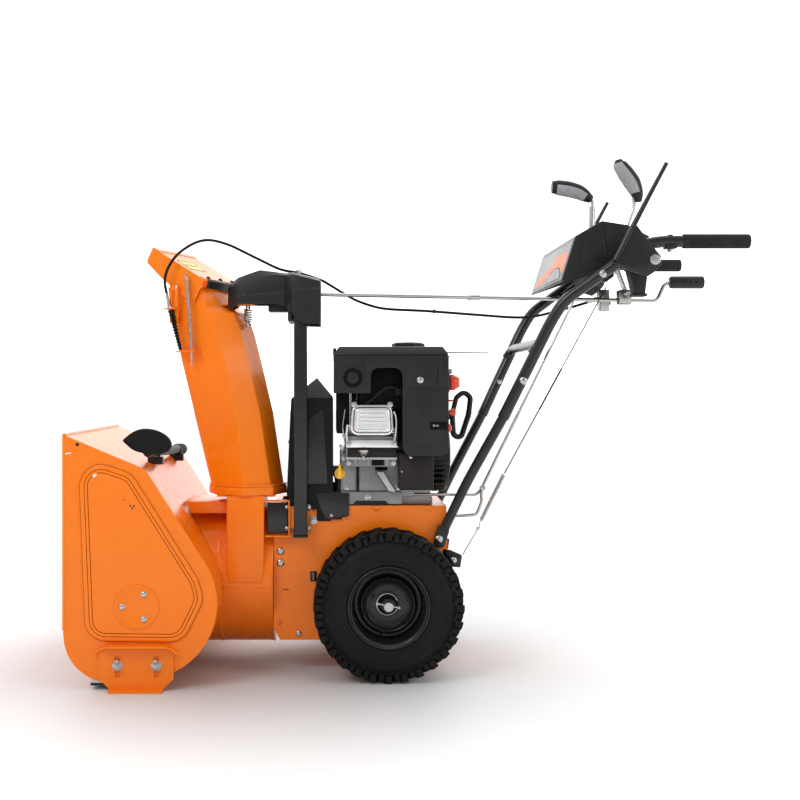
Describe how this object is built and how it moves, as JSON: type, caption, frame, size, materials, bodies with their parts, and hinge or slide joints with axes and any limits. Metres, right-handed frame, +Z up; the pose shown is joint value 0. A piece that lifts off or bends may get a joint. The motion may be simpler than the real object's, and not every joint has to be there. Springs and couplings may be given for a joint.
{
  "type": "snow blower",
  "caption": "Two-stage walk-behind snow blower with an auger housing, a turning discharge chute, a small engine, two lugged wheels and splayed handlebars.",
  "frame": {"origin": "on the ground, at the middle of the machine's length and width", "axes": "+X rearwards to the handlebars, +Y to the machine's right, +Z up"},
  "size_m": [1.4936, 0.67, 1.191],
  "materials": {
    "orange_paint": "gloss powder coat",
    "black_paint": "satin powder coat",
    "black_plastic": "fine moulded grain",
    "rubber": "matt",
    "grip_foam": "soft matt",
    "zinc_steel": "bright zinc plate",
    "cast_aluminium": "cast, satin",
    "yellow_plastic": "gloss",
    "red_plastic": "gloss"
  },
  "bodies": {
    "root": {"housing_shell": "orange_paint", "left_side_plate": "orange_paint", "right_side_plate": "orange_paint", "left_skid_shoe": "orange_paint", "right_skid_shoe": "orange_paint", "scraper_bar": "black_paint", "impeller_drum": "orange_paint", "auger_gearcase": "cast_aluminium", "frame_body": "orange_paint", "belt_cover": "black_paint", "drive_belt": "rubber", "chute_post": "black_paint", "post_bracket": "orange_paint", "gear_cover": "black_plastic", "engine_block": "cast_aluminium", "valve_cover": "cast_aluminium", "engine_shroud": "black_plastic", "recoil_housing": "black_plastic", "muffler": "black_paint", "left_lower_handle": "black_paint", "right_lower_handle": "black_paint", "left_upper_handle": "black_paint", "right_upper_handle": "black_paint", "handle_brace": "black_paint", "left_grip": "grip_foam", "right_grip": "grip_foam", "dash_body": "black_plastic", "crank_support": "zinc_steel", "deflector_cable": "rubber", "traction_spring": "zinc_steel"},
    "wheels": {"axle": "zinc_steel", "left_rim": "black_paint", "left_tyre": "rubber", "right_rim": "black_paint", "right_tyre": "rubber"},
    "auger": {"auger_shaft": "zinc_steel", "left_auger": "orange_paint", "right_auger": "orange_paint"},
    "impeller": {"impeller": "orange_paint", "impeller_pulley": "zinc_steel"},
    "crankshaft": {"engine_pulley": "zinc_steel"},
    "chute": {"chute": "orange_paint", "chute_gear": "zinc_steel", "cable_bracket": "orange_paint", "cable_bellows": "rubber", "deflector_spring": "zinc_steel", "chute_cable": "rubber"},
    "deflector": {"deflector": "orange_paint"},
    "crank": {"crank_rod": "zinc_steel"},
    "crank_grip": {"crank_grip": "black_plastic"},
    "deflector_lever": {"deflector_lever": "zinc_steel"},
    "speed_lever": {"speed_lever": "zinc_steel"},
    "left_clutch_lever": {"left_clutch_lever": "black_paint"},
    "right_clutch_lever": {"right_clutch_lever": "black_paint"},
    "oil_cap": {"oil_cap": "yellow_plastic"},
    "fuel_cap": {"fuel_cap": "black_plastic"},
    "choke_knob": {"choke_knob": "red_plastic"},
    "ignition_key": {"ignition_key": "red_plastic"},
    "starter_handle": {"starter_handle": "black_plastic"},
    "clean_out_tool": {"clean_out_tool": "black_plastic"}
  },
  "joints": [
    {"name": "axle_spin", "type": "hinge", "parent": "root", "child": "wheels", "pos_m": [-0.045, 0, 0.1666], "axis": [0, 1, 0], "continuous": true},
    {"name": "impeller_spin", "type": "hinge", "parent": "root", "child": "impeller", "pos_m": [-0.36, 0, 0.21], "axis": [1, 0, 0], "continuous": true},
    {"name": "auger_spin", "type": "hinge", "parent": "root", "child": "auger", "pos_m": [-0.588, 0, 0.1805], "axis": [0, 1, 0], "continuous": true},
    {"name": "crankshaft_spin", "type": "hinge", "parent": "root", "child": "crankshaft", "pos_m": [-0.249, 0, 0.452], "axis": [1, 0, 0], "continuous": true},
    {"name": "chute_turn", "type": "hinge", "parent": "root", "child": "chute", "pos_m": [-0.366, -0.085, 0.6], "axis": [0, 0, 1], "range_deg": [-65, 110]},
    {"name": "deflector_tilt", "type": "hinge", "parent": "chute", "child": "deflector", "pos_m": [-0.42672, -0.05668, 0.8975], "axis": [0.4226, 0.9063, 0], "range_deg": [-30, 15], "deforming": ["deflector_spring"]},
    {"name": "crank_spin", "type": "hinge", "parent": "root", "child": "crank", "pos_m": [0.4, -0.08, 0.85666], "axis": [0.9998, 0, -0.019], "range_deg": [-780, 1320]},
    {"name": "crank_grip_spin", "type": "hinge", "parent": "crank", "child": "crank_grip", "pos_m": [0.66, -0.08, 0.8965], "axis": [1, 0, 0], "continuous": true},
    {"name": "deflector_lever_tilt", "type": "hinge", "parent": "root", "child": "deflector_lever", "pos_m": [0.468, 0.06, 0.965], "axis": [0, 1, 0], "range_deg": [-13.5, 6.75]},
    {"name": "speed_lever_tilt", "type": "hinge", "parent": "root", "child": "speed_lever", "pos_m": [0.515, -0.06, 0.965], "axis": [0, 1, 0], "range_deg": [-18, 18]},
    {"name": "left_clutch_press", "type": "hinge", "parent": "root", "child": "left_clutch_lever", "pos_m": [0.533, -0.268, 0.9285], "axis": [0, 1, 0], "range_deg": [0, 58], "stiffness_Nm_per_rad": 1.2, "springref_deg": -22.92},
    {"name": "right_clutch_press", "type": "hinge", "parent": "root", "child": "right_clutch_lever", "pos_m": [0.533, 0.268, 0.9285], "axis": [0, 1, 0], "range_deg": [0, 58], "stiffness_Nm_per_rad": 1.2, "springref_deg": -22.92},
    {"name": "oil_cap_turn", "type": "hinge", "parent": "root", "child": "oil_cap", "pos_m": [-0.152, -0.14, 0.453], "axis": [0, 1, 0], "range_deg": [0, 180]},
    {"name": "fuel_cap_turn", "type": "hinge", "parent": "root", "child": "fuel_cap", "pos_m": [0.01, -0.06, 0.748], "axis": [0, 0, 1], "range_deg": [0, 90]},
    {"name": "choke_turn", "type": "hinge", "parent": "root", "child": "choke_knob", "pos_m": [0.1, -0.15, 0.6615], "axis": [1, 0, 0], "range_deg": [0, 90]},
    {"name": "key_pull", "type": "slide", "parent": "root", "child": "ignition_key", "axis": [1, 0, 0], "range_m": [0, 0.02]},
    {"name": "starter_pull", "type": "slide", "parent": "root", "child": "starter_handle", "axis": [1, 0, 0], "range_m": [0, 0.35], "stiffness_N_per_m": 15, "springref_m": -0.08},
    {"name": "tool_lift", "type": "slide", "parent": "root", "child": "clean_out_tool", "axis": [0, 0, 1], "range_m": [0, 0.12]}
  ],
  "couplings": [
    {"joint": "auger_spin", "follows": "impeller_spin", "ratio": 0.1},
    {"joint": "crank_spin", "follows": "chute_turn", "ratio": 12},
    {"joint": "deflector_lever_tilt", "follows": "deflector_tilt", "ratio": 0.45}
  ]
}
